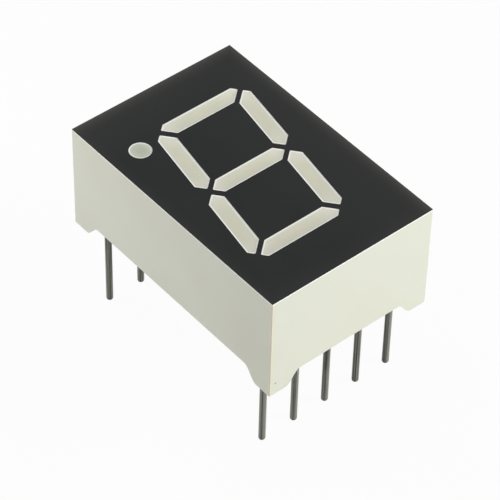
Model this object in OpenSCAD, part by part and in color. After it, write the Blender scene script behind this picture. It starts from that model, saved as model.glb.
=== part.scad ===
// Seven segment LED display, one digit, with its pins straight down.
// +Z leaves the face, +Y is the top of the digit, +X is its right-hand side.
// The pin tips stand on Z = 0 and the body is centred on X = 0, Y = 0.

/* [Body] */
// Width of the body, across the digit
body_w = 12.5; // [11.3:0.1:15]
// Height of the body, along the digit
body_h = 19; // [17:0.1:24]
// Depth from the face to the feet
body_d = 7.9; // [7.4:0.1:10]
// Thickness of the two long walls
side_wall = 0.55; // [0.4:0.05:0.6]
// Thickness of the two short walls
end_wall = 0.9; // [0.5:0.05:1]
// Thickness of the plastic behind the face
face_wall = 1; // [0.8:0.05:1.5]
// Rounding along the edges of the face
edge_r = 0.03; // [0.02:0.01:0.2]
// Rounding of the four upright corners
corner_r = 0.08; // [0.05:0.01:0.3]
// Thickness of the black mask on the face
mask_t = 0.05; // [0.03:0.01:0.1]

/* [Feet] */
// Flat length of each foot along a wall
foot_len = 1.25; // [0.8:0.05:1.6]
// Length of the soft ramp from a foot up to the wall's edge
ramp_len = 1.1; // [0.8:0.05:1.8]
// Height of the feet below the walls' edge
foot_rise = 1; // [0.6:0.05:1.1]

/* [Digit] */
// Height of the digit over its bars
digit_h = 12.7; // [11.5:0.1:14]
// Width of the digit over its bars, before it leans
digit_w = 7.35; // [7:0.05:7.6]
// Width of every bar
bar_w = 1.2; // [1:0.02:1.4]
// Gap between two bars
gap_w = 0.34; // [0.3:0.02:0.5]
// How far the four outer corners are cut back
corner_cut = 1; // [0.6:0.02:1.2]
// Lean of the digit in degrees
lean = 9.8; // [0:0.1:10]
// Distance of the digit's centre from the body's centre
digit_shift = 0.08; // [-0.2:0.02:0.3]
// Rounding of the bars' corners
bar_r = 0.08; // [0.04:0.01:0.12]
// Diameter of the decimal point
point_d = 1.46; // [1.2:0.02:1.6]
// Gap between the digit's lower right bar and the decimal point
point_gap = 0.58; // [0.4:0.02:0.6]
// Height of the decimal point's centre above the foot of the digit
point_up = 0.96; // [0.8:0.01:1.2]

/* [Light wells] */
// Width of the white rim left between the mask and the resin
rim_w = 0.08; // [0.04:0.01:0.12]
// Depth of the straight mouth of a well, before it narrows
mouth_d = 0.5; // [0.3:0.05:0.8]
// Length of a well's opening over its LED
well_len = 2; // [1.8:0.05:2.4]
// Width of a well's opening over its LED
well_w = 0.9; // [0.8:0.02:1]
// Thickness of the plastic around each well
well_wall = 0.4; // [0.3:0.05:0.5]
// How much the round well's radius shrinks down to the board
point_draft = 0.08; // [0.02:0.01:0.12]
// Clearance between a well and the copper rings around the pins
ring_gap = 0.1; // [0.05:0.01:0.3]

/* [Circuit board] */
// Thickness of the board
board_t = 1; // [0.8:0.05:1.2]
// Gap between the board and the walls around it
board_gap = 0.05; // [0.03:0.01:0.15]
// Rounding of the board's corners
board_r = 0.5; // [0.3:0.05:0.6]
// Thickness of the copper on the board's front
copper_t = 0.035; // [0.03:0.005:0.07]
// Width of a copper track
track_w = 0.3; // [0.2:0.02:0.35]
// Side of the copper square under a die
die_pad = 0.5; // [0.42:0.02:0.55]
// Side of the copper square under a wire's end
bond_pad = 0.35; // [0.3:0.01:0.4]
// Diameter of the copper ring around a pin
ring_d = 0.9; // [0.84:0.02:1]

/* [LED dies and bond wires] */
// Side of a die
die_w = 0.3; // [0.25:0.01:0.36]
// Thickness of a die
die_t = 0.25; // [0.15:0.01:0.3]
// Distance from a bar's die to the pad that its wire reaches
bond_reach = 0.8; // [0.7:0.01:0.9]
// The same distance under the decimal point
point_reach = 0.6; // [0.55:0.01:0.65]
// Height of the wire's loop
bond_loop = 0.22; // [0.15:0.01:0.3]
// Diameter of a bond wire
bond_d = 0.03; // [0.025:0.005:0.05]

/* [Pins] */
// Diameter of a pin
pin_d = 0.45; // [0.42:0.01:0.56]
// Distance from a long side of the body to the axis of the nearest pins
pin_side = 1.17; // [1.1:0.01:1.6]
// Distance from a short side of the body to the axis of its row of pins
pin_end = 1.88; // [1.6:0.01:2.2]
// Length of a pin below the feet
pin_drop = 6.3; // [4:0.1:9]
// Rounding of a pin's tip
tip_r = 0.16; // [0.08:0.01:0.2]
// How much a pin's radius shrinks from the feet up to its top, to lead it into the board
pin_taper = 0.01; // [0.005:0.005:0.03]
// Length of a pin above the board's copper
pin_stub = 0.45; // [0.3:0.05:0.8]
// Clearance around a pin where it passes through something
pin_clear = 0.01; // [0.01:0.005:0.03]
// Height of the solder around a pin
solder_h = 0.3; // [0.2:0.02:0.4]
// Thickness of the solder at its upper lip
solder_lip = 0.04; // [0.02:0.01:0.08]
// Width of copper left bare around the solder
ring_margin = 0.04; // [0.02:0.01:0.08]

/* [Back filling] */
// Thickness of the filling behind the board
fill_t = 0.95; // [0.6:0.05:1.4]
// Depth of the filling's rim inside the walls' edge
fill_inset = 0.1; // [0.05:0.01:0.3]
// Height that the filling creeps up the walls
creep = 0.25; // [0.1:0.01:0.3]
// Height of the collar of filling that clings to each pin
collar_h = 0.18; // [0.1:0.01:0.25]
// Width of that collar at its foot, out from the pin
collar_w = 0.13; // [0.08:0.01:0.2]
// Thickness of that collar at its lower lip
collar_lip = 0.02; // [0.01:0.01:0.05]

/* [Hidden] */
$fn = 48;
row_pins = 5;
arc_steps = 3;
ramp_steps = 10;
wire_steps = 12;
wire_sides = 6;
// how far a cut runs past the surface that it opens
past = 1;

// heights, from the pin tips up
z_feet = pin_drop;
z_edge = z_feet + foot_rise;
z_face = z_feet + body_d;
z_top = z_face - mask_t;
z_core = z_top - face_wall;
z_fill = z_edge + fill_inset;
z_back = z_fill + fill_t;
z_board = z_back + board_t;
z_seat = z_board + copper_t;

// the pocket inside the walls
pocket_w = body_w - 2 * side_wall;
pocket_h = body_h - 2 * end_wall;
pocket_r = board_r + board_gap;

// where the bars' centre lines cross, before the digit leans
bar_half = bar_w / 2;
side_half = bar_half / cos(lean);
node_x = digit_w / 2 - side_half;
node_y = digit_h / 2 - bar_half;
corner_sum = (digit_w + digit_h) / 2 - corner_cut;

pin_r = pin_d / 2;
hole_r = pin_r + pin_clear;
pin_pitch = (body_w - 2 * pin_side) / (row_pins - 1);
row_gap = body_h - 2 * pin_end;

// the openings over the LEDs of the top and bottom bars stay clear of the pins
led_y = min(node_y, (row_gap - ring_d - well_w) / 2 - ring_gap - well_wall);

// the point stands beside the leaning bar, above the foot of the digit
point_y = point_up - digit_h / 2;
point_x = digit_w / 2 + tan(lean) * point_y + digit_shift + point_gap + point_d / 2;
point_at = [point_x, point_y];
LETTERS = ["a", "b", "c", "d", "e", "f", "g", "dp"];
POINT = 7;

// ---- the digit's outlines ----

function flip_x(pts) = [for (p = pts) [-p.x, p.y]];
function flip_y(pts) = [for (p = pts) [p.x, -p.y]];
function leaned(p) = [p.x + tan(lean) * p.y + digit_shift, p.y];
function span(pts, k) = max([for (p = pts) p[k]]) - min([for (p = pts) p[k]]);
function unit(v) = v / norm(v);
function twice_area(pts, k = 0) =
    k == len(pts) ? 0 : cross(pts[k], pts[(k + 1) % len(pts)]) + twice_area(pts, k + 1);
function counterclockwise(pts) =
    twice_area(pts) > 0 ? pts : [for (k = [len(pts) - 1 : -1 : 0]) pts[k]];

// an arc of arc_steps chords at each corner of a convex outline
function rounded(pts, r) =
    let (n = len(pts))
    [for (k = [0 : n - 1])
        let (
            p = pts[k],
            u = unit(pts[(k + n - 1) % n] - p),
            v = unit(pts[(k + 1) % n] - p),
            half = acos(u * v) / 2,
            c = p + unit(u + v) * r / sin(half),
            s = p + u * r / tan(half) - c,
            e = p + v * r / tan(half) - c,
            from = atan2(s.y, s.x),
            sweep = (atan2(e.y, e.x) - from + 540) % 360 - 180
        )
        for (j = [0 : arc_steps])
            let (a = from + sweep * j / arc_steps) c + r * [cos(a), sin(a)]];

// the top bar, a level bar with mitred ends and two cut corners
function top_bar(grow) =
    let (
        h = bar_half + grow,
        m = gap_w / sqrt(2) - grow * sqrt(2),
        s = corner_sum + grow * sqrt(2),
        d = node_x - node_y,
        outer = node_y + h,
        inner = node_y - h,
        right = [[s - outer, outer], [(s + d - m) / 2, (s - d + m) / 2], [d - m + inner, inner]]
    )
    concat(right, flip_x([right[2], right[1], right[0]]));

// the upper right bar, mitred at the corner and pointed at the middle
function side_bar(grow) =
    let (
        h = side_half + grow / cos(lean),
        m = gap_w / sqrt(2) - grow * sqrt(2),
        s = corner_sum + grow * sqrt(2),
        d = node_x - node_y,
        outer = node_x + h,
        inner = node_x - h
    )
    [[outer, s - outer], [(s + d + m) / 2, (s - d - m) / 2], [inner, inner - d - m],
     [inner, m + h], [node_x, m], [outer, m + h]];

// the middle bar, pointed at both ends
function middle_bar(grow) =
    let (
        h = bar_half + grow,
        tip = node_x - gap_w / sqrt(2) + grow * sqrt(2),
        right = [[tip - h, -h], [tip, 0], [tip - h, h]]
    )
    concat(right, flip_x([right[2], right[1], right[0]]));

function is_level(i) = i == 0 || i == 3 || i == 6;
function upright_outline(i, grow) =
    i == 0 ? top_bar(grow) :
    i == 1 ? side_bar(grow) :
    i == 2 ? flip_y(side_bar(grow)) :
    i == 3 ? flip_y(top_bar(grow)) :
    i == 4 ? flip_x(flip_y(side_bar(grow))) :
    i == 5 ? flip_x(side_bar(grow)) :
    middle_bar(grow);
function upright_centre(i) =
    [i == 1 || i == 2 ? node_x : i == 4 || i == 5 ? -node_x : 0,
     i == 0 ? node_y : i == 3 ? -node_y : i == 6 ? 0 : i == 1 || i == 5 ? node_y / 2 : -node_y / 2];
function upright_led(i) = i == 0 ? [0, led_y] : i == 3 ? [0, -led_y] : upright_centre(i);
function led_centre(i) = i == POINT ? point_at : leaned(upright_led(i));

// a bar's outline, rounded, grown outwards and leaned over
function bar_ring(i, grow) =
    [for (p = counterclockwise(rounded(upright_outline(i, grow), bar_r + max(grow, 0)))) leaned(p)];

// the same ring of points, drawn in to the small opening over the LED
function floor_ring(i, grow) =
    let (
        pts = counterclockwise(rounded(upright_outline(i, grow), bar_r + max(grow, 0))),
        c = upright_centre(i),
        led = upright_led(i),
        wide = is_level(i) ? well_len : well_w,
        high = is_level(i) ? well_w : well_len,
        kx = (wide + 2 * max(grow, 0)) / span(pts, 0),
        ky = (high + 2 * max(grow, 0)) / span(pts, 1)
    )
    [for (p = pts) leaned([led.x + kx * (p.x - c.x), led.y + ky * (p.y - c.y)])];

// ---- forms ----

function at_height(ring, z) = [for (p = ring) [p.x, p.y, z]];

// a solid through a row of rings that all have the same number of points
module loft(rings) {
    n = len(rings[0]);
    last = len(rings) - 1;
    polyhedron(
        points = [for (ring = rings) each ring],
        faces = concat(
            [[for (j = [0 : n - 1]) j]],
            [[for (j = [n - 1 : -1 : 0]) last * n + j]],
            [for (k = [0 : last - 1]) for (j = [0 : n - 1])
                [k * n + j, k * n + n + j, k * n + n + (j + 1) % n]],
            [for (k = [0 : last - 1]) for (j = [0 : n - 1])
                [k * n + j, k * n + n + (j + 1) % n, k * n + (j + 1) % n]]
        )
    );
}

// the light well over one LED: a straight mouth that narrows down to the board
module well(i) {
    if (i == POINT) {
        r = point_d / 2 - rim_w;
        translate([point_x, point_y, z_top - mouth_d]) cylinder(h = mouth_d, r = r);
        translate([point_x, point_y, z_seat])
            cylinder(h = z_top - mouth_d - z_seat, r1 = r - point_draft, r2 = r);
    } else {
        mouth = bar_ring(i, -rim_w);
        loft([
            at_height(floor_ring(i, -rim_w), z_seat),
            at_height(mouth, z_top - mouth_d),
            at_height(mouth, z_top)
        ]);
    }
}

// the wall of plastic around a well, from the board up into the face
module funnel(i) {
    h = z_core + face_wall / 2 - z_seat;
    if (i == POINT) {
        r = point_d / 2 - rim_w + well_wall;
        translate([point_x, point_y, z_seat]) cylinder(h = h, r1 = r - point_draft, r2 = r);
    } else {
        loft([
            at_height(floor_ring(i, well_wall), z_seat),
            at_height(bar_ring(i, well_wall), z_seat + h)
        ]);
    }
}

module rounded_plan(w, h, r) {
    square([w - 2 * r, h], center = true);
    square([w, h - 2 * r], center = true);
    for (x = [-1, 1], y = [-1, 1]) translate([x * (w / 2 - r), y * (h / 2 - r)]) circle(r);
}

// the body as seen from one side: feet, soft ramps, and a face with rounded edges
module elevation(w) {
    foot = w / 2 - foot_len;
    half = concat(
        [for (k = [0 : ramp_steps]) let (t = k / ramp_steps)
            [foot - ramp_len * (1 - t), z_feet + foot_rise * (1 + cos(180 * t)) / 2]],
        [[w / 2, z_feet]],
        [for (a = [0 : 90 / (2 * arc_steps) : 90])
            [w / 2 - edge_r + edge_r * cos(a), z_top - edge_r + edge_r * sin(a)]]
    );
    polygon(concat(half, [for (k = [len(half) - 1 : -1 : 0]) [-half[k].x, half[k].y]]));
}

// a hollow with a floor that curves into its walls
module creep_profile(w) {
    low = z_fill - past;
    wall = [for (a = [0 : 90 / (2 * arc_steps) : 90])
        [w / 2 - creep * (1 - cos(a)), z_fill + creep * sin(a)]];
    polygon(concat([[w / 2, low]], wall,
        [for (k = [len(wall) - 1 : -1 : 0]) [-wall[k].x, wall[k].y]], [[-w / 2, low]]));
}

module along_y(length) {
    rotate([90, 0, 0]) linear_extrude(height = length, center = true) children();
}
module along_x(length) {
    rotate([90, 0, 90]) linear_extrude(height = length, center = true) children();
}

// ---- housing, mask and resin ----

// the outside of the body: its plan and its two elevations, crossed
module body_outside() {
    intersection() {
        translate([0, 0, z_feet])
            linear_extrude(height = z_top - z_feet) rounded_plan(body_w, body_h, corner_r);
        along_y(body_h + 2 * past) elevation(body_w);
        along_x(body_w + 2 * past) elevation(body_h);
    }
}

module pocket() {
    translate([0, 0, z_feet - past])
        linear_extrude(height = z_core - z_feet + past) rounded_plan(pocket_w, pocket_h, pocket_r);
}

module reflector_housing() {
    color([0.87, 0.88, 0.83]) difference() {
        union() {
            difference() {
                body_outside();
                pocket();
            }
            for (i = [0 : POINT]) funnel(i);
        }
        for (i = [0 : POINT]) well(i);
    }
}

module face_mask() {
    color([0.2, 0.2, 0.21]) translate([0, 0, z_top]) linear_extrude(height = mask_t) difference() {
        square([body_w - 2 * edge_r, body_h - 2 * edge_r], center = true);
        for (i = [0 : POINT - 1]) polygon(bar_ring(i, 0));
        translate(point_at) circle(d = point_d);
    }
}

module lit_resin(i) {
    color([0.84, 0.83, 0.77]) difference() {
        well(i);
        die_block(i);
        wire_arch(i);
    }
}

// ---- board, dies and wires ----

// the way from a bar's die to the end of its wire
function bond_way(i) =
    i == 0 ? [1, 0] :
    i == 3 || i == 6 ? [-1, 0] :
    i == 1 || i == 5 ? unit([tan(lean), 1]) :
    i == POINT ? [0, -1] :
    unit([-tan(lean), -1]);
function reach_of(i) = i == POINT ? point_reach : bond_reach;
function die_at(i) = led_centre(i) - bond_way(i) * reach_of(i) / 2;
function pad_at(i) = led_centre(i) + bond_way(i) * reach_of(i) / 2;

// pins 1 to 5 run left to right below the digit, 6 to 10 right to left above it
function pin_at(n) =
    let (k = (n - 1) % row_pins - (row_pins - 1) / 2)
    n <= row_pins ? [k * pin_pitch, -row_gap / 2] : [-k * pin_pitch, row_gap / 2];

// each wire's pad and the pin it runs to: segments a to g, then the point
PIN_OF = [7, 6, 4, 2, 1, 9, 10, 5];
// the two pins that all dies share
COMMON = [3, 8];

module die_block(i) {
    translate([die_at(i).x, die_at(i).y, z_seat + die_t / 2])
        cube([die_w, die_w, die_t], center = true);
}

// half an ellipse from the top of the die over to the pad, with upright ends
function arch_point(i, a) =
    [reach_of(i) / 2 * (1 - cos(a)), z_seat + die_t * (1 + cos(a)) / 2 + bond_loop * sin(a)];
function arch_heading(i, a) =
    unit([reach_of(i) / 2 * sin(a), bond_loop * cos(a) - die_t / 2 * sin(a)]);

module wire_arch(i) {
    way = bond_way(i);
    loft([for (k = [0 : wire_steps])
        let (a = 180 * k / wire_steps, c = arch_point(i, a), heading = arch_heading(i, a))
        [for (j = [0 : wire_sides - 1])
            let (
                b = 360 * j / wire_sides,
                along = c.x + bond_d / 2 * cos(b) * heading.y,
                across = bond_d / 2 * sin(b),
                up = c.y - bond_d / 2 * cos(b) * heading.x,
                at = die_at(i) + along * way + across * [-way.y, way.x]
            )
            [at.x, at.y, up]]
    ]);
}

module track(path) {
    for (k = [0 : len(path) - 2]) {
        d = path[k + 1] - path[k];
        translate(path[k]) rotate(atan2(d.y, d.x))
            translate([0, -track_w / 2]) square([norm(d), track_w]);
    }
    for (p = path) translate(p) circle(d = track_w);
}

// the copper that joins every die to pins 3 and 8
module common_tracks() {
    spine = die_at(6).x;
    track([pin_at(COMMON[0]), [pin_at(COMMON[0]).x, die_at(3).y], [spine, die_at(3).y],
        [spine, die_at(0).y], [pin_at(COMMON[1]).x, die_at(0).y], pin_at(COMMON[1])]);
    track([die_at(3), [spine, die_at(3).y]]);
    track([[spine, die_at(0).y], die_at(0)]);
    for (i = [1, 2, 4, 5]) track([[spine, die_at(i).y], die_at(i)]);
    track([die_at(2), [point_x, die_at(2).y], die_at(POINT)]);
    for (i = [0 : POINT]) translate(die_at(i)) square(die_pad, center = true);
}

module copper_tracks() {
    color([0.8, 0.55, 0.3]) translate([0, 0, z_board]) linear_extrude(height = copper_t) difference() {
        union() {
            common_tracks();
            for (i = [0 : POINT]) {
                track([pad_at(i), [pin_at(PIN_OF[i]).x, pad_at(i).y], pin_at(PIN_OF[i])]);
                translate(pad_at(i)) square(bond_pad, center = true);
            }
            for (n = [1 : 2 * row_pins]) translate(pin_at(n)) circle(d = ring_d);
        }
        for (n = [1 : 2 * row_pins]) translate(pin_at(n)) circle(hole_r);
    }
}

module circuit_board() {
    color([0.72, 0.66, 0.45]) translate([0, 0, z_back]) linear_extrude(height = board_t) difference() {
        rounded_plan(pocket_w - 2 * board_gap, pocket_h - 2 * board_gap, board_r);
        for (n = [1 : 2 * row_pins]) translate(pin_at(n)) circle(hole_r);
    }
}

module die(i) {
    color([0.85, 0.3, 0.2]) die_block(i);
}

module bond_wire(i) {
    color([0.95, 0.75, 0.3]) wire_arch(i);
}

// ---- pins, solder and back filling ----

// a round wire: a rounded tip, straight up to the feet, then a very slight taper
module pin(n) {
    top = z_seat + pin_stub;
    color([0.5, 0.51, 0.48]) translate([pin_at(n).x, pin_at(n).y, 0]) rotate_extrude() {
        square([pin_r - tip_r, tip_r]);
        translate([0, tip_r]) square([pin_r, z_feet - tip_r]);
        polygon([[0, z_feet], [pin_r, z_feet], [pin_r - pin_taper, top], [0, top]]);
        intersection() {
            translate([pin_r - tip_r, tip_r]) circle(tip_r);
            square([pin_r, tip_r]);
        }
    }
}

// a fillet of solder: a cone with a hollow side, from the copper ring up the pin
module solder_joint(n) {
    foot = ring_d / 2 - ring_margin;
    lip = hole_r + solder_lip;
    color([0.75, 0.75, 0.76]) translate([pin_at(n).x, pin_at(n).y, z_seat]) rotate_extrude()
        polygon(concat(
            [[hole_r, 0]],
            [for (a = [0 : 15 : 90]) [foot - (foot - lip) * sin(a), solder_h * (1 - cos(a))]],
            [[hole_r, solder_h]]
        ));
}

// a collar with a hollow side, hanging from the filling's flat face onto the pin
module collar() {
    face = z_fill + creep;
    root = (face + z_back) / 2;
    wide = hole_r + collar_w;
    rotate_extrude() polygon(concat(
        [[0, root], [wide, root]],
        [for (a = [0 : 15 : 90])
            [wide - (collar_w - collar_lip) * sin(a), face - collar_h * (1 - cos(a))]],
        [[0, face - collar_h]]
    ));
}

module back_filling() {
    color([0.9, 0.89, 0.84]) difference() {
        union() {
            difference() {
                translate([0, 0, z_fill])
                    linear_extrude(height = z_back - z_fill) rounded_plan(pocket_w, pocket_h, pocket_r);
                intersection() {
                    along_y(pocket_h) creep_profile(pocket_w);
                    along_x(pocket_w) creep_profile(pocket_h);
                }
            }
            for (n = [1 : 2 * row_pins]) translate(pin_at(n)) collar();
        }
        for (n = [1 : 2 * row_pins])
            translate([pin_at(n).x, pin_at(n).y, z_fill - past])
                cylinder(h = z_back - z_fill + 2 * past, r = hole_r);
    }
}

reflector_housing();
face_mask();
for (i = [0 : POINT - 1])
    lit_resin(i);
lit_resin(POINT);  // decimal_point
circuit_board();
copper_tracks();
for (i = [0 : POINT]) {
    die(i);
    bond_wire(i);
}
for (n = [1 : 2 * row_pins]) {
    pin(n);
    solder_joint(n);
}
back_filling();
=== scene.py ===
import math

import bpy
import numpy as np
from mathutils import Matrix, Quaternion, Vector


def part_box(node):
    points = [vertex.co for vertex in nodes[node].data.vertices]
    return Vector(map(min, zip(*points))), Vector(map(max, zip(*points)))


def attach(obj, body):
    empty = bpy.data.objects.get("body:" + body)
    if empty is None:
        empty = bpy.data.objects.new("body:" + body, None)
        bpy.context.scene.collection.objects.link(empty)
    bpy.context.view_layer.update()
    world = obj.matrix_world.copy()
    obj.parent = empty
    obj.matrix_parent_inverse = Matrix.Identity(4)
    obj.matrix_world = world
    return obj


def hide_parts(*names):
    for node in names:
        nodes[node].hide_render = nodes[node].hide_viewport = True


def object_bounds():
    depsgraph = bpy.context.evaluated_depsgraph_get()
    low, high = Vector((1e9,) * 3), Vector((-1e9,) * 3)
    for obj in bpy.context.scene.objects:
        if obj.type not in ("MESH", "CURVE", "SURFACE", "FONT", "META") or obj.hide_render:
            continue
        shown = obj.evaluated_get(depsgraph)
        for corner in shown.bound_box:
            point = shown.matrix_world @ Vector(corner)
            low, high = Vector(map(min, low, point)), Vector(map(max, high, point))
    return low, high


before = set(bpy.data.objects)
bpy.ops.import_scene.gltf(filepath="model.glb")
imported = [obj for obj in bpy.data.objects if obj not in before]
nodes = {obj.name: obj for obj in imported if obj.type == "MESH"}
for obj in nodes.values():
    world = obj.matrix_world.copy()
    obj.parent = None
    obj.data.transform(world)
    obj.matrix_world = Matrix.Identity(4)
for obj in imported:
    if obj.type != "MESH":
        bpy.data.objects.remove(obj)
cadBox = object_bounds()
mm = 0.001  # the scene is in metres, the lengths in the dictionaries below are in millimetres
print("frame loaded:", len(nodes), "nodes")


# the camera comes first, because everything else is judged through it
cameraPlan = {
    "aim": (4.41, 5.29),  # x and y of the point of the face that is in the middle of the view
    "azimuth": 139.17,
    "elevation": 45.32,
    "roll": 1.43,
    "distance": 158.9,
    "lens": 196.2,
    "sensor": 36,
    "nearest": 10,
    "farthest": 10000,
}


def placeCamera(plan):
    data = bpy.data.cameras.new("benchCamera")
    data.sensor_width = plan["sensor"]
    data.lens = plan["lens"]
    data.clip_start = plan["nearest"] * mm
    data.clip_end = plan["farthest"] * mm
    around, up = math.radians(plan["azimuth"]), math.radians(plan["elevation"])
    back = Vector((
        math.sin(around) * math.cos(up),
        -math.cos(around) * math.cos(up),
        math.sin(up),
    ))
    aim = Vector((plan["aim"][0] * mm, plan["aim"][1] * mm, cadBox[1].z))
    camera = bpy.data.objects.new("benchCamera", data)
    bpy.context.scene.collection.objects.link(camera)
    camera.location = aim + back * plan["distance"] * mm
    camera.rotation_mode = "QUATERNION"
    roll = Quaternion((0, 0, 1), math.radians(plan["roll"]))
    camera.rotation_quaternion = (-back).to_track_quat("-Z", "Y") @ roll
    bpy.context.scene.camera = camera


placeCamera(cameraPlan)
print("camera placed")


# node helpers: what goes into a socket may be a number, a colour or another node's output
def plug(tree, socket, value):
    if isinstance(value, bpy.types.NodeSocket):
        tree.links.new(value, socket)
    else:
        socket.default_value = value


def addNode(tree, kind, sockets=None, **settings):
    made = tree.nodes.new(kind)
    for name, value in settings.items():
        setattr(made, name, value)
    for name, value in (sockets or {}).items():
        plug(tree, made.inputs[name], value)
    return made


def calc(tree, operation, first, second=0.0):
    made = addNode(tree, "ShaderNodeMath", {0: first, 1: second}, operation=operation)
    return made.outputs[0]


def calcVector(tree, operation, first, second):
    made = addNode(tree, "ShaderNodeVectorMath", {0: first, 1: second}, operation=operation)
    return made.outputs["Value" if operation == "DISTANCE" else "Vector"]


# a Mix node takes its colours at inputs 6 and 7, and gives their mixture at output 2
def blendColours(tree, amount, first, second):
    sockets = {0: amount, 6: first, 7: second}
    return addNode(tree, "ShaderNodeMix", sockets, data_type="RGBA").outputs[2]


def remap(tree, value, low, high, newLow=0.0, newHigh=1.0, smooth=False):
    sockets = {"Value": value, "From Min": low, "From Max": high,
               "To Min": newLow, "To Max": newHigh}
    kind = "SMOOTHSTEP" if smooth else "LINEAR"
    return addNode(tree, "ShaderNodeMapRange", sockets, interpolation_type=kind).outputs["Result"]


# the scale that gives a texture features of so many millimetres
def scaleFor(tree, size):
    return calc(tree, "DIVIDE", 1 / mm, size)


# a group with a Vector input, the given number inputs and one output
def startGroup(name, inputs, output):
    group = bpy.data.node_groups.new(name, "ShaderNodeTree")
    inputs = {"Vector": (0, 0, 0), **inputs}
    for label, value in inputs.items():
        kind = "NodeSocketVector" if label == "Vector" else "NodeSocketFloat"
        socket = group.interface.new_socket(name=label, in_out="INPUT", socket_type=kind)
        socket.default_value = value
    group.interface.new_socket(name=output, in_out="OUTPUT", socket_type="NodeSocketFloat")
    entry = group.nodes.new("NodeGroupInput").outputs
    leave = group.nodes.new("NodeGroupOutput").inputs[output]
    return group, entry, leave


noiseSpan = (0.3, 0.7)  # nearly all values of a noise texture lie between these two


# slow change over the surface, 0 to 1
def softCloudGroup():
    group, entry, leave = startGroup("softCloud", {"Size": 4.0, "Offset": 0.0}, "Amount")
    noise = addNode(group, "ShaderNodeTexNoise", {
        "Vector": calcVector(group, "ADD", entry["Vector"], entry["Offset"]),
        "Scale": scaleFor(group, entry["Size"]),
        "Detail": 2.0,
        "Roughness": 0.5,
    })
    plug(group, leave, remap(group, noise.outputs["Fac"], *noiseSpan, smooth=True))
    return group


grainPlan = {
    "detail": 3.0,
    "roughness": 0.6,
    "cellScale": 0.7,
    "cellDepth": 0.35,
}


# moulded or poured texture as a height: fine noise over shallow cells
def fineGrainGroup(plan):
    group, entry, leave = startGroup("fineGrain", {"Size": 0.1}, "Height")
    scale = scaleFor(group, entry["Size"])
    noise = addNode(group, "ShaderNodeTexNoise", {
        "Vector": entry["Vector"],
        "Scale": scale,
        "Detail": plan["detail"],
        "Roughness": plan["roughness"],
    })
    cells = addNode(group, "ShaderNodeTexVoronoi", {
        "Vector": entry["Vector"],
        "Scale": calc(group, "MULTIPLY", scale, plan["cellScale"]),
        "Randomness": 1.0,
    })
    dents = calc(group, "MULTIPLY", cells.outputs["Distance"], plan["cellDepth"])
    plug(group, leave, calc(group, "ADD", noise.outputs["Fac"], dents))
    return group


speckPlan = {
    "scatter": 0.9,
    "smallest": 0.4,  # a speck's least share of the given radius, and the most is 1 more
    "core": 0.6,  # the share of its own radius that is solid
}


# sparse round specks with a soft rim, 0 to 1; Share is how many of the cells hold one
def straySpecksGroup(plan):
    inputs = {"Spacing": 1.0, "Radius": 0.03, "Share": 0.3}
    group, entry, leave = startGroup("straySpecks", inputs, "Mask")
    cells = addNode(group, "ShaderNodeTexVoronoi", {
        "Vector": entry["Vector"],
        "Scale": scaleFor(group, entry["Spacing"]),
        "Randomness": plan["scatter"],
    })
    chance = addNode(group, "ShaderNodeSeparateColor", {"Color": cells.outputs["Color"]}).outputs
    radius = calc(group, "DIVIDE", entry["Radius"], entry["Spacing"])
    radius = calc(group, "MULTIPLY", radius, calc(group, "ADD", chance["Green"], plan["smallest"]))
    core = calc(group, "MULTIPLY", radius, plan["core"])
    inside = remap(group, cells.outputs["Distance"], radius, core, smooth=True)
    chosen = calc(group, "LESS_THAN", chance["Red"], entry["Share"])
    plug(group, leave, calc(group, "MULTIPLY", inside, chosen))
    return group


# long streaks along Z, as a drawn wire has
def drawnStreaksGroup():
    inputs = {"Width": 0.05, "Length": 3.0, "Offset": 0.0}
    group, entry, leave = startGroup("drawnStreaks", inputs, "Amount")
    squeezed = addNode(group, "ShaderNodeCombineXYZ", {
        "X": 1.0,
        "Y": 1.0,
        "Z": calc(group, "DIVIDE", entry["Width"], entry["Length"]),
    })
    stretched = calcVector(group, "MULTIPLY", entry["Vector"], squeezed.outputs[0])
    noise = addNode(group, "ShaderNodeTexNoise", {
        "Vector": calcVector(group, "ADD", stretched, entry["Offset"]),
        "Scale": scaleFor(group, entry["Width"]),
        "Detail": 3.0,
        "Roughness": 0.65,
    })
    plug(group, leave, remap(group, noise.outputs["Fac"], *noiseSpan))
    return group


groups = {
    "cloud": softCloudGroup(),
    "grain": fineGrainGroup(grainPlan),
    "specks": straySpecksGroup(speckPlan),
    "streaks": drawnStreaksGroup(),
}
print("shared node groups made:", ", ".join(groups))


def startMaterial(name):
    material = bpy.data.materials.new(name)
    material.use_nodes = True
    tree = material.node_tree
    shader = next(n for n in tree.nodes if n.type == "BSDF_PRINCIPLED")
    place = tree.nodes.new("ShaderNodeTexCoord").outputs["Object"]
    return material, tree, shader.inputs, place


def useGroup(tree, which, vector, **values):
    made = tree.nodes.new("ShaderNodeGroup")
    made.node_tree = groups[which]
    tree.links.new(vector, made.inputs["Vector"])
    for name, value in values.items():
        made.inputs[name].default_value = value
    return made.outputs[0]


def attributeOf(tree, name):
    return addNode(tree, "ShaderNodeAttribute", attribute_name=name).outputs["Fac"]


def reliefOf(tree, height, depth, under=None):
    sockets = {"Height": height, "Distance": depth * mm, "Strength": 1.0}
    made = addNode(tree, "ShaderNodeBump", sockets)
    if under is not None:
        tree.links.new(under, made.inputs["Normal"])
    return made.outputs["Normal"]


def dress(names, material):
    for name in names:
        for slot in nodes[name].material_slots:
            slot.material = material


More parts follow.
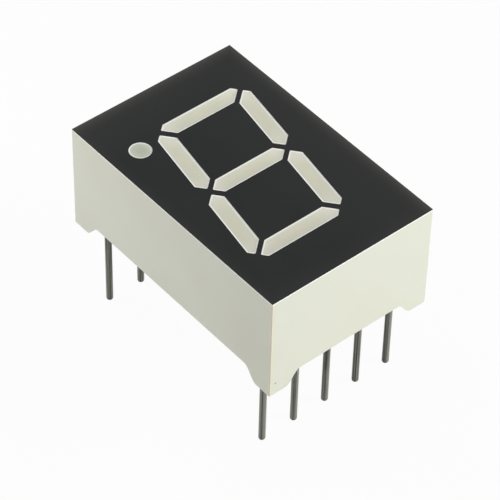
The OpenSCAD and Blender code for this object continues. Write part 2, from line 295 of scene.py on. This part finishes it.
# housing: off-white moulding with a fine satin texture
housingLook = {
    "colour": (0.750, 0.766, 0.655, 1),
    "warmer": (0.742, 0.750, 0.628, 1),
    "cloudSize": 6.0,
    "shine": (0.42, 0.52),  # roughness, from one end of the cloud to the other
    "grainSize": 0.09,
    "grainDepth": 0.0040,
    "peelSize": 1.1,
    "peelDepth": 0.006,
    "dust": (0.560, 0.555, 0.470, 1),
    "dustCover": 0.6,
    "dustSpread": {"Spacing": 2.2, "Radius": 0.030, "Share": 0.30},
    "rimHighlight": (0.940, 0.940, 0.880, 1),  # painted highlight along the sharp rim round the face
    "rimHighlightReach": (0.16, 0.08),  # below the face: where the painted highlight starts, and where it is full
    "cornerHighlight": (  # painted highlight on the near upright corner, in a cream band and a lighter band at the edge: a colour, and how far off it starts and is full
        ((0.765, 0.746, 0.595, 1), (0.50, 0.05)),
        ((0.880, 0.850, 0.700, 1), (0.16, 0.05)),
    ),
    "speck": (0.25, 0.22, 0.16, 1),  # the one stray mark, low on the short side
    "speckPlace": (0.45, 0.90),  # in from the corner, up from the foot
    "speckRadii": (0.075, 0.030),  # outside, and of the solid core
}


def housingMaterial(look):
    material, tree, shader, place = startMaterial("mouldedPlastic")
    lowest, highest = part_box("reflector_housing")
    cloud = useGroup(tree, "cloud", place, Size=look["cloudSize"])
    colour = blendColours(tree, cloud, look["colour"], look["warmer"])

    dust = useGroup(tree, "specks", place, **look["dustSpread"])
    dust = calc(tree, "MULTIPLY", dust, look["dustCover"])
    colour = blendColours(tree, dust, colour, look["dust"])

    # painted highlight: the housing turns cream and then lighter close to its near upright corner
    flat = calcVector(tree, "MULTIPLY", place, (1, 1, 0))
    toCorner = calcVector(tree, "DISTANCE", flat, (highest[0], highest[1], 0))
    for wearAndHighlight, reach in look["cornerHighlight"]:
        share = remap(tree, toCorner, *(d * mm for d in reach), smooth=True)
        colour = blendColours(tree, share, colour, wearAndHighlight)

    # painted highlight: the housing turns lighter in a thin band just under the face
    height = addNode(tree, "ShaderNodeSeparateXYZ", {0: place}).outputs["Z"]
    rimLit = remap(tree, height, *(cadBox[1].z - d * mm for d in look["rimHighlightReach"]), smooth=True)
    colour = blendColours(tree, rimLit, colour, look["rimHighlight"])

    inward, rise = look["speckPlace"]
    speckAt = (highest[0] - inward * mm, highest[1], lowest[2] + rise * mm)
    toSpeck = calcVector(tree, "DISTANCE", place, speckAt)
    mark = remap(tree, toSpeck, *(r * mm for r in look["speckRadii"]), smooth=True)
    plug(tree, shader["Base Color"], blendColours(tree, mark, colour, look["speck"]))

    plug(tree, shader["Roughness"], remap(tree, cloud, 0, 1, *look["shine"]))
    peel = reliefOf(tree, useGroup(tree, "grain", place, Size=look["peelSize"]), look["peelDepth"])
    grain = useGroup(tree, "grain", place, Size=look["grainSize"])
    plug(tree, shader["Normal"], reliefOf(tree, grain, look["grainDepth"], under=peel))
    return material


dress(["reflector_housing"], housingMaterial(housingLook))


# face mask: charcoal ink, printed through a fine mesh, with a little dust
inkLook = {
    "colour": (0.0113, 0.0123, 0.0122, 1),
    "thinner": (0.0143, 0.0153, 0.0154, 1),
    "sheen": (0.0192, 0.0198, 0.0195, 1),  # painted sheen: lighter in a slow change across the face, towards -X and -Y
    "sheenFrom": (0.5, -4.8),  # the x and the y where it starts
    "edgeHighlight": (0.054, 0.057, 0.050, 1),  # painted highlight: lighter along the face's edges
    "edgeHighlightBands": {  # at low and high x and y: width along x, width along y, share of the painted highlight
        "low": (1.2, 1.4, 1.0),
        "high": (1.2, 2.0, 0.15),
    },
    "edgeHighlightFade": 3.0,  # the power of the distance by which the painted highlight fades inwards
    "dust": (0.060, 0.060, 0.058, 1),
    "dustSpread": {"Spacing": 1.3, "Radius": 0.026, "Share": 0.35},
    "cloudSize": 3.5,
    "shine": (0.50, 0.54),
    "gloss": 0.12,
    "meshSize": 0.05,
    "meshDepth": 0.0030,
}


def inkMaterial(look):
    material, tree, shader, place = startMaterial("printedInk")
    low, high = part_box("face_mask")
    cloud = useGroup(tree, "cloud", place, Size=look["cloudSize"])
    colour = blendColours(tree, cloud, look["colour"], look["thinner"])

    axes = addNode(tree, "ShaderNodeSeparateXYZ", {0: place}).outputs
    # painted sheen: the ink grows lighter towards the -X and -Y ends of the face
    sheen = calc(tree, "MAXIMUM", *(
        remap(tree, axes[k], look["sheenFrom"][k] * mm, low[k]) for k in (0, 1)))
    colour = blendColours(tree, sheen, colour, look["sheen"])
    # painted highlight: the ink is lighter in bands along its edges, strongest at low x and y
    for side, edge, inward in (("low", low, 1), ("high", high, -1)):
        *widths, share = look["edgeHighlightBands"][side]
        near = calc(tree, "MAXIMUM", *(
            remap(tree, axes[k], edge[k] + inward * widths[k] * mm, edge[k]) for k in (0, 1)))
        lightened = calc(tree, "MULTIPLY", calc(tree, "POWER", near, look["edgeHighlightFade"]), share)
        colour = blendColours(tree, lightened, colour, look["edgeHighlight"])

    dust = useGroup(tree, "specks", place, **look["dustSpread"])
    plug(tree, shader["Base Color"], blendColours(tree, dust, colour, look["dust"]))
    plug(tree, shader["Roughness"], remap(tree, cloud, 0, 1, *look["shine"]))
    shader["Specular IOR Level"].default_value = look["gloss"]
    grain = useGroup(tree, "grain", place, Size=look["meshSize"])
    plug(tree, shader["Normal"], reliefOf(tree, grain, look["meshDepth"]))
    return material


dress(["face_mask"], inkMaterial(inkLook))
print("housing and ink finished")


# cast resin: milky, deeper in colour away from the well's white walls. It reads three attributes
# of the cast pieces: rimNear is 0 in the middle and 1 at the rim, lengthwise is -1 and 1 at the
# two tips, and the third, a painted shade, grows towards +X and +Y, within a piece and from piece
# to piece, darkening the colour there
barLook = {
    "name": "barResin",
    "middle": (0.525, 0.534, 0.407, 1),
    "cloudSize": 0.9,
    "blush": (0.608, 0.524, 0.445, 1),
    "cream": (0.563, 0.593, 0.430, 1),
    "creamSize": 1.35,
    "creamOffset": 0.37,
    "mottle": 0.6,  # share of blush and cream in the clouds
    "chipGlow": (0.613, 0.519, 0.400, 1),  # the tone above the chip
    "chipShare": 0.4,
    "chipLength": (0.22, 0.0),  # in lengthwise: where the glow ends, and where it is full
    "chipWidth": (0.6, 0.1),  # the same in rimNear
    "milkGrain": 0.11,
    "milkSpan": (0.3, 0.9),  # of the grain's height
    "milkShare": 0.14,  # of the rim's colour, where the grain is highest
    "outer": (0.578, 0.581, 0.481, 1),
    "outerFrom": (0.1, 0.9),  # in rimNear: where this tone starts, and where it is full
    "tips": (0.643, 0.634, 0.541, 1),
    "tipsFrom": (0.4, 1.0),  # the same in lengthwise
    "rim": (0.800, 0.800, 0.720, 1),
    "rimFrom": (0.84, 0.98),
    "shadeSpan": (-1.4, 1.4),
    "shadeEnds": (1.126, 0.874),  # painted shade: the tone at the two ends of that span
    "shine": (0.36, 0.46),
    "rippleSize": 0.5,
    "rippleDepth": 0.004,
}
pointLook = {
    **barLook,
    "name": "pointResin",
    "middle": (0.375, 0.408, 0.315, 1),
    "blush": (0.405, 0.418, 0.345, 1),
    "cream": (0.385, 0.425, 0.325, 1),
    "chipGlow": (0.370, 0.420, 0.320, 1),
    "outer": (0.455, 0.480, 0.392, 1),
    "tips": (0.500, 0.520, 0.435, 1),
    "rim": (0.620, 0.640, 0.560, 1),
    "shadeEnds": (1.0, 1.0),
}


def resinMaterial(look):
    material, tree, shader, place = startMaterial(look["name"])
    rimNear = attributeOf(tree, "rimNear")
    fromMiddle = calc(tree, "ABSOLUTE", attributeOf(tree, "lengthwise"))

    cloud = useGroup(tree, "cloud", place, Size=look["cloudSize"])
    otherCloud = useGroup(tree, "cloud", place, Size=look["creamSize"], Offset=look["creamOffset"])
    colour = look["middle"]
    for patches, tint in ((cloud, "blush"), (otherCloud, "cream")):
        share = calc(tree, "MULTIPLY", patches, look["mottle"])
        colour = blendColours(tree, share, colour, look[tint])

    overChip = calc(tree, "MULTIPLY",
                    remap(tree, fromMiddle, *look["chipLength"], smooth=True),
                    remap(tree, rimNear, *look["chipWidth"], smooth=True))
    share = calc(tree, "MULTIPLY", overChip, look["chipShare"])
    colour = blendColours(tree, share, colour, look["chipGlow"])

    powder = useGroup(tree, "grain", place, Size=look["milkGrain"])
    share = remap(tree, powder, *look["milkSpan"], 0.0, look["milkShare"])
    colour = blendColours(tree, share, colour, look["rim"])
    for value, zone in ((rimNear, "outer"), (fromMiddle, "tips"), (rimNear, "rim")):
        share = remap(tree, value, *look[zone + "From"], smooth=True)
        colour = blendColours(tree, share, colour, look[zone])

    # painted shade: the colour is scaled lighter towards -X and -Y and darker towards +X and +Y
    paintedShade = attributeOf(tree, "paintedShade")
    shade = remap(tree, paintedShade, *look["shadeSpan"], *look["shadeEnds"])
    shaded = addNode(tree, "ShaderNodeVectorMath", {0: colour, "Scale": shade}, operation="SCALE")
    plug(tree, shader["Base Color"], shaded.outputs[0])
    plug(tree, shader["Roughness"], remap(tree, cloud, 0, 1, *look["shine"]))
    ripple = useGroup(tree, "grain", place, Size=look["rippleSize"])
    plug(tree, shader["Normal"], reliefOf(tree, ripple, look["rippleDepth"]))
    return material


weldStep = 1e-8  # metres: points closer than this are one


# merges points that coincide, and drops the triangles that this closes up
def weld(points, triangles, values):
    keys = np.round(points / weldStep).astype(np.int64)
    first, back = np.unique(keys, axis=0, return_index=True, return_inverse=True)[1:]
    triangles = back.reshape(-1)[triangles]
    a, b, c = triangles.T
    kept = triangles[(a != b) & (b != c) & (a != c)]
    return points[first], kept, values[first]


# a node's mesh as arrays, welded, with a 1 for each point
def nodeArrays(name):
    mesh = nodes[name].data
    mesh.calc_loop_triangles()
    points = np.empty(len(mesh.vertices) * 3, np.float32)
    mesh.vertices.foreach_get("co", points)
    triangles = np.empty(len(mesh.loop_triangles) * 3, np.int32)
    mesh.loop_triangles.foreach_get("vertices", triangles)
    points = points.reshape(-1, 3).astype(float)
    return weld(points, triangles.reshape(-1, 3), np.ones(len(points)))


castPlan = {
    "sag": 0.04,  # how far the middle of a well's top sinks
    "rows": 8,
    "lidDepth": 0.001,  # what lies this close to the highest point belongs to the flat lid
    "roundFrom": 0.9,  # a well is round if its spread across is over this share of that along
    "sharpAngle": 35,
    "shadeSlope": (0.70, 0.50),  # how fast the painted shade grows, across a piece and along it
    "shadeDrift": (0.047, 0.028),  # and from piece to piece, for each millimetre of x and of y
}


# the flat lid of a well: its rim in order round the middle, which triangles are its own, its
# middle, and its axes across and along
def findLid(points, triangles):
    isHigh = points[:, 2] > points[:, 2].max() - castPlan["lidDepth"] * mm
    isLid = isHigh[triangles].all(axis=1)
    rim = np.unique(triangles[isLid])
    corners = points[rim, :2]
    middle = (corners.min(0) + corners.max(0)) / 2
    arms = corners - middle
    order = np.argsort(np.arctan2(arms[:, 1], arms[:, 0]))
    axes = np.linalg.eigh(arms[order].T @ arms[order])[1]
    return rim[order], isLid, middle, axes * np.sign(axes.sum(axis=0))


# the poured top of a well. A point of the rim runs straight in to the nearer end of the middle
# line, and its height falls by sag * (2s - s*s), where s goes from 0 at the rim to 1 on that line
def pourTop(rim, middle, axes):
    arms = rim[:, :2] - middle
    along, across = arms @ axes[:, 1], arms @ axes[:, 0]
    isRound = (across @ across) > castPlan["roundFrom"] * (along @ along)
    reach = 0 if isRound else np.abs(along).max() - np.abs(across).max()
    line = middle + np.outer(np.sign(along) * reach, axes[:, 1])
    s = np.linspace(0, 1, castPlan["rows"] + 1)[1:]
    flat = rim[None, :, :2] * (1 - s)[:, None, None] + line[None] * s[:, None, None]
    height = rim[:, 2].max() - castPlan["sag"] * mm * (2 * s - s * s)
    poured = np.column_stack([flat.reshape(-1, 2), np.repeat(height, len(rim))])
    return poured, np.repeat(1 - s, len(rim))


# two triangles for each step round a row, between that row and the next one in
def bridgeRows(rows):
    after = np.roll(rows, -1, axis=1)
    a, b, c, d = rows[:-1].ravel(), after[:-1].ravel(), after[1:].ravel(), rows[1:].ravel()
    return np.vstack([np.column_stack([a, b, c]), np.column_stack([a, c, d])])


def castPiece(node, name, material):
    points, triangles, rimNear = nodeArrays(node)
    rim, isLid, middle, axes = findLid(points, triangles)
    poured, pouredNear = pourTop(points[rim], middle, axes)
    inner = len(points) + np.arange(len(poured)).reshape(-1, len(rim))
    points, triangles, rimNear = weld(
        np.vstack([points, poured]),
        np.vstack([triangles[~isLid], bridgeRows(np.vstack([rim, inner]))]),
        np.concatenate([rimNear, pouredNear]),
    )

    mesh = bpy.data.meshes.new(name)
    mesh.from_pydata(points.tolist(), [], triangles.tolist())
    spot = (points[:, :2] - middle) @ axes
    spot /= np.abs(spot).max(axis=0)
    # painted shade, growing towards +X and +Y within a piece and from piece to piece
    paintedShade = spot @ castPlan["shadeSlope"] + middle / mm @ castPlan["shadeDrift"]
    for label, values in (("rimNear", rimNear), ("lengthwise", spot[:, 1]), ("paintedShade", paintedShade)):
        attribute = mesh.attributes.new(label, "FLOAT", "POINT")
        attribute.data.foreach_set("value", values.astype(np.float32))
    mesh.polygons.foreach_set("use_smooth", np.ones(len(mesh.polygons), bool))
    mesh.set_sharp_from_angle(angle=math.radians(castPlan["sharpAngle"]))
    mesh.materials.append(material)
    piece = bpy.data.objects.new(name, mesh)
    bpy.context.scene.collection.objects.link(piece)
    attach(piece, "root")
    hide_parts(node)


barResin = resinMaterial(barLook)
for letter in "abcdefg":
    castPiece("segment_" + letter, "castBar_" + letter, barResin)
castPiece("decimal_point", "castPoint", resinMaterial(pointLook))
print("resin cast in eight wells")


# pins: drawn wire, tinned and gone dull, with darker streaks along it
pinLook = {
    "colour": (0.255, 0.258, 0.222, 1),
    "dull": (0.040, 0.054, 0.038, 1),
    "dullFrom": (0.35, 0.85),  # in the streaks: where the dull tone starts, and where it is full
    "dullShare": (0.75, 1.0),  # from one end of the cloud to the other
    "metal": 0.15,
    "gloss": 0.1,
    "shine": (0.34, 0.50),
    "streaks": {"Width": 0.11, "Length": 14.0, "Offset": 1.43},
    "streakDepth": 0.0015,
    "cloudSize": 1.2,
}


def pinMaterial(look):
    material, tree, shader, place = startMaterial("tinnedWire")
    streaks = useGroup(tree, "streaks", place, **look["streaks"])
    cloud = useGroup(tree, "cloud", place, Size=look["cloudSize"])
    lines = remap(tree, streaks, *look["dullFrom"], smooth=True)
    wearAndHighlight = calc(tree, "MULTIPLY", lines, remap(tree, cloud, 0, 1, *look["dullShare"]))
    plug(tree, shader["Base Color"], blendColours(tree, wearAndHighlight, look["colour"], look["dull"]))
    plug(tree, shader["Roughness"], remap(tree, lines, 0, 1, *look["shine"]))
    shader["Metallic"].default_value = look["metal"]
    shader["Specular IOR Level"].default_value = look["gloss"]
    plug(tree, shader["Normal"], reliefOf(tree, streaks, look["streakDepth"]))
    return material


pinNumbers = [str(n) for n in range(1, 11)]
dress(["pin_" + each for each in pinNumbers], pinMaterial(pinLook))


# back filling: poured epoxy, glossier than the housing, with a few small bubbles
fillingLook = {
    "colour": (0.700, 0.695, 0.600, 1),
    "deeper": (0.650, 0.640, 0.530, 1),
    "cloudSize": 3.0,
    "shine": (0.16, 0.26),
    "bubbles": {"Spacing": 1.4, "Radius": 0.07, "Share": 0.4},
    "bubbleDepth": 0.02,
    "rippleSize": 1.6,
    "rippleDepth": 0.02,
}


def fillingMaterial(look):
    material, tree, shader, place = startMaterial("pouredEpoxy")
    cloud = useGroup(tree, "cloud", place, Size=look["cloudSize"])
    bubbles = useGroup(tree, "specks", place, **look["bubbles"])
    ripple = useGroup(tree, "grain", place, Size=look["rippleSize"])
    plug(tree, shader["Base Color"], blendColours(tree, cloud, look["colour"], look["deeper"]))
    plug(tree, shader["Roughness"], remap(tree, cloud, 0, 1, *look["shine"]))
    waves = reliefOf(tree, ripple, look["rippleDepth"])
    plug(tree, shader["Normal"], reliefOf(tree, bubbles, look["bubbleDepth"], under=waves))
    return material


dress(["back_filling"], fillingMaterial(fillingLook))
print("pins and filling finished")


# the board inside: woven glass in epoxy
laminateLook = {
    "colours": ((0.46, 0.42, 0.22, 1), (0.55, 0.51, 0.30, 1)),
    "weaveScale": 200.0,  # a wave texture repeats every pi / 10 metres at scale 1
    "shine": (0.32, 0.42),
    "weaveDepth": 0.003,
}


def laminateMaterial(look):
    material, tree, shader, place = startMaterial("glassLaminate")
    across, upward = (
        addNode(tree, "ShaderNodeTexWave", {"Vector": place, "Scale": look["weaveScale"]},
                bands_direction=axis).outputs["Fac"] for axis in "XY")
    weave = calc(tree, "MULTIPLY", across, upward)
    plug(tree, shader["Base Color"], blendColours(tree, weave, *look["colours"]))
    plug(tree, shader["Roughness"], remap(tree, weave, 0, 1, *look["shine"]))
    plug(tree, shader["Normal"], reliefOf(tree, weave, look["weaveDepth"]))
    return material


# the metals inside, each with a slow change of tone and a finer grain
copperLook = {
    "name": "etchedCopper",
    "colours": ((0.72, 0.36, 0.20, 1), (0.50, 0.22, 0.12, 1)),
    "shine": (0.3, 0.5),
    "cloudSize": 1.0,
    "grainSize": 0.2,
    "grainDepth": 0.001,
}
goldLook = {
    "name": "bondGold",
    "colours": ((0.95, 0.68, 0.25, 1), (0.80, 0.52, 0.16, 1)),
    "shine": (0.15, 0.3),
    "cloudSize": 0.1,
    "grainSize": 0.02,
    "grainDepth": 0.0002,
}
solderLook = {
    "name": "solderFillet",
    "colours": ((0.62, 0.62, 0.63, 1), (0.42, 0.42, 0.43, 1)),
    "shine": (0.18, 0.4),
    "cloudSize": 0.4,
    "grainSize": 0.08,
    "grainDepth": 0.002,
}


def metalMaterial(look):
    material, tree, shader, place = startMaterial(look["name"])
    cloud = useGroup(tree, "cloud", place, Size=look["cloudSize"])
    grain = useGroup(tree, "grain", place, Size=look["grainSize"])
    plug(tree, shader["Base Color"], blendColours(tree, cloud, *look["colours"]))
    plug(tree, shader["Roughness"], remap(tree, cloud, 0, 1, *look["shine"]))
    shader["Metallic"].default_value = 1.0
    plug(tree, shader["Normal"], reliefOf(tree, grain, look["grainDepth"]))
    return material


# the chip's red crystal, roughened by the saw
chipLook = {
    "colours": ((0.42, 0.07, 0.04, 1), (0.60, 0.50, 0.22, 1)),
    "cloudSize": 0.1,
    "cloudShare": 0.3,
    "shine": (0.2, 0.45),
    "sawSize": 0.03,
    "sawDepth": 0.001,
}


def chipMaterial(look):
    material, tree, shader, place = startMaterial("sawnChip")
    grain = useGroup(tree, "grain", place, Size=look["sawSize"])
    cloud = useGroup(tree, "cloud", place, Size=look["cloudSize"])
    share = calc(tree, "MULTIPLY", cloud, look["cloudShare"])
    plug(tree, shader["Base Color"], blendColours(tree, share, *look["colours"]))
    plug(tree, shader["Roughness"], remap(tree, grain, 0, 1, *look["shine"]))
    plug(tree, shader["Normal"], reliefOf(tree, grain, look["sawDepth"]))
    return material


letters = list("abcdefg") + ["dp"]
dress(["circuit_board"], laminateMaterial(laminateLook))
dress(["copper_tracks"], metalMaterial(copperLook))
dress(["wire_" + each for each in letters], metalMaterial(goldLook))
dress(["solder_" + each for each in pinNumbers], metalMaterial(solderLook))
dress(["die_" + each for each in letters], chipMaterial(chipLook))
print("inner parts finished")


# floor, world and lamps
stagePlan = {
    "floorSize": 1600.0,
    "floorColour": (0.62, 0.62, 0.62, 1),
    "white": (1, 1, 1, 1),
    "whiteShare": 0.95,  # how much of the floor the camera sees as plain white
    "skyLight": 0.42,
}
# place and aim in millimetres from the middle of the face, size in millimetres, power in watts
lampPlan = {
    "keyLamp": {"place": (-150, 165, 95), "aim": (0, 4, -4), "size": (110, 110), "power": 0.462},
    "sideLamp": {"place": (34, -50, 12), "aim": (6, -4, -4), "size": (30, 30), "power": 0.0154},
    "topLamp": {"place": (-10, -70, 235), "aim": (0, 0, 0), "size": (150, 150), "power": 0.122},
}


# shared by floor and world: 1 for rays from the camera and for what gloss and glass see
def seenDirectly(tree):
    rays = tree.nodes.new("ShaderNodeLightPath").outputs
    direct = calc(tree, "MAXIMUM", rays["Is Camera Ray"], rays["Is Glossy Ray"])
    return calc(tree, "MAXIMUM", direct, rays["Is Transmission Ray"])


def layFloor(plan):
    half = plan["floorSize"] / 2 * mm
    ring = [(-half, -half, 0), (half, -half, 0), (half, half, 0), (-half, half, 0)]
    mesh = bpy.data.meshes.new("benchTop")
    mesh.from_pydata(ring, [], [(0, 1, 2, 3)])
    floor = bpy.data.objects.new("benchTop", mesh)
    bpy.context.scene.collection.objects.link(floor)
    material = bpy.data.materials.new("benchPaper")
    material.use_nodes = True
    tree = material.node_tree
    tree.nodes.clear()
    paper = addNode(tree, "ShaderNodeBsdfDiffuse", {"Color": plan["floorColour"]})
    glow = addNode(tree, "ShaderNodeEmission", {"Color": plan["white"], "Strength": 1.0})
    share = calc(tree, "MULTIPLY", seenDirectly(tree), plan["whiteShare"])
    sockets = {0: share, 1: paper.outputs[0], 2: glow.outputs[0]}
    mixed = addNode(tree, "ShaderNodeMixShader", sockets)
    addNode(tree, "ShaderNodeOutputMaterial", {"Surface": mixed.outputs[0]})
    mesh.materials.append(material)


def lightSky(plan):
    world = bpy.data.worlds.new("studioWhite")
    bpy.context.scene.world = world
    world.use_nodes = True
    tree = world.node_tree
    sky = next(n for n in tree.nodes if n.type == "BACKGROUND").inputs
    sky["Color"].default_value = plan["white"]
    plug(tree, sky["Strength"], remap(tree, seenDirectly(tree), 0, 1, plan["skyLight"], 1.0))


def hangLamp(name, plan):
    data = bpy.data.lights.new(name, "AREA")
    data.shape = "RECTANGLE"
    data.size, data.size_y = (edge * mm for edge in plan["size"])
    data.energy = plan["power"]
    lamp = bpy.data.objects.new(name, data)
    bpy.context.scene.collection.objects.link(lamp)
    middle = Vector((0, 0, cadBox[1].z))
    lamp.location = middle + Vector(plan["place"]) * mm
    toAim = middle + Vector(plan["aim"]) * mm - lamp.location
    lamp.rotation_mode = "QUATERNION"
    lamp.rotation_quaternion = toAim.to_track_quat("-Z", "Y")
    lamp.visible_camera = False


layFloor(stagePlan)
lightSky(stagePlan)
for lampName, lampValues in lampPlan.items():
    hangLamp(lampName, lampValues)
bpy.context.scene.view_settings.view_transform = "Standard"
print("stage lit")
